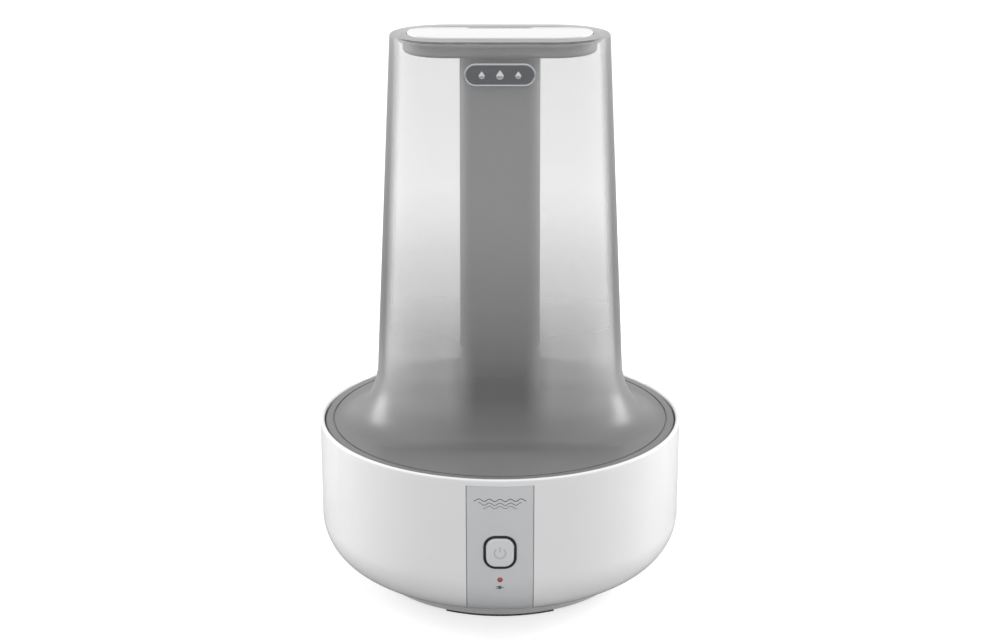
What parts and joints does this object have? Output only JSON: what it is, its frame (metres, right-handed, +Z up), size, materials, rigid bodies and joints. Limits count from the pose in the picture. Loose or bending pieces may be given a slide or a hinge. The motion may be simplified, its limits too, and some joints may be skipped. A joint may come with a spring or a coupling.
{
  "type": "cool mist humidifier",
  "caption": "Tabletop ultrasonic humidifier: bowl base with front power button, lift-off translucent tower tank with central mist chimney, oval outlet under a white cover.",
  "frame": {"origin": "middle of the footprint, on the surface that the rubber feet stand on", "axes": "+Z up, front panel and power button face -Y, power inlet faces +Y"},
  "size_m": [0.245, 0.248, 0.3728],
  "materials": {
    "gloss_white": "high gloss moulded white",
    "cover_white": "smooth white with a soft sheen",
    "panel_grey": "fine satin light grey",
    "button_grey": "satin light grey",
    "surround_black": "semi-gloss black",
    "smoke_clear": "smoky translucent with a fine satin inside",
    "chimney_grey": "satin mid grey",
    "badge_chrome": "bright plated with a brushed field",
    "inner_white": "satin moulded white",
    "foot_grey": "satin light grey",
    "foot_rubber": "matt grey rubber",
    "seal_rubber": "matt black rubber",
    "screw_steel": "zinc-plated",
    "plate_steel": "brushed sheet steel",
    "sink_aluminium": "extruded, satin",
    "contact_brass": "bright drawn",
    "board_green": "green solder mask",
    "part_black": "matt moulded black",
    "can_black": "shrink-sleeved dark",
    "coil_copper": "lacquered copper wire",
    "piezo_metal": "nickel-plated ceramic",
    "lens_red": "clear red light pipe",
    "float_white": "fine foamed white",
    "magnet_dark": "sintered ferrite"
  },
  "bodies": {
    "base": {"base_shell": "gloss_white", "front_panel": "panel_grey", "button_surround": "surround_black", "power_switch": "part_black", "indicator_lens": "lens_red", "indicator_led": "lens_red", "control_board": "board_green", "control_board_screws": "screw_steel", "bottom_cover": "foot_grey", "rubber_feet": "foot_rubber", "bottom_cover_screws": "screw_steel", "basin": "inner_white", "basin_screws": "screw_steel", "float_keeper": "inner_white", "level_sensor": "part_black", "transducer_seal": "seal_rubber", "transducer_disc": "piezo_metal", "transducer_retainer": "plate_steel", "transducer_screws": "screw_steel", "heat_sink": "sink_aluminium", "fan_housing": "part_black", "air_duct": "inner_white", "fan_screws": "screw_steel", "driver_board": "board_green", "power_board": "board_green", "circuit_board_screws": "screw_steel", "power_transformer": "magnet_dark", "smoothing_capacitors": "can_black", "driver_transistor": "sink_aluminium", "drive_coil": "coil_copper", "power_inlet": "part_black", "inlet_pins": "contact_brass"},
    "tank": {"tank_shell": "smoke_clear", "tank_bottom": "smoke_clear", "mist_chimney": "chimney_grey", "outlet_dish": "chimney_grey", "badge_plate": "badge_chrome"},
    "top_cover": {"top_cover": "cover_white"},
    "tank_cap": {"tank_cap": "inner_white", "cap_gasket": "seal_rubber", "valve_spring": "screw_steel"},
    "valve": {"valve_plunger": "inner_white", "valve_seal": "seal_rubber"},
    "float": {"float_ring": "float_white", "float_magnet": "magnet_dark"},
    "fan": {"fan_rotor": "part_black"},
    "power_button": {"power_button": "button_grey", "switch_plunger": "part_black"}
  },
  "joints": [
    {"name": "tank_lift", "type": "slide", "parent": "base", "child": "tank", "axis": [0, 0, 1], "range_m": [0, 0.12]},
    {"name": "cover_lift", "type": "slide", "parent": "tank", "child": "top_cover", "axis": [0, 0, 1], "range_m": [0, 0.03]},
    {"name": "cap_turn", "type": "hinge", "parent": "tank", "child": "tank_cap", "pos_m": [0.062, 0, 0.088], "axis": [0, 0, -1], "range_deg": [0, 90]},
    {"name": "valve_slide", "type": "slide", "parent": "tank_cap", "child": "valve", "axis": [0, 0, 1], "range_m": [-0.004, 0], "deforming": ["valve_spring"]},
    {"name": "float_rise", "type": "slide", "parent": "base", "child": "float", "axis": [0, 0, 1], "range_m": [0, 0.007]},
    {"name": "fan_spin", "type": "hinge", "parent": "base", "child": "fan", "pos_m": [0, 0.045, 0.021], "axis": [0, 0, 1], "continuous": true},
    {"name": "button_press", "type": "slide", "parent": "base", "child": "power_button", "axis": [0, 1, 0], "range_m": [0, 0.001], "stiffness_N_per_m": 1500}
  ],
  "couplings": [
    {"joint": "valve_slide", "follows": "tank_lift", "ratio": -0.033333}
  ]
}
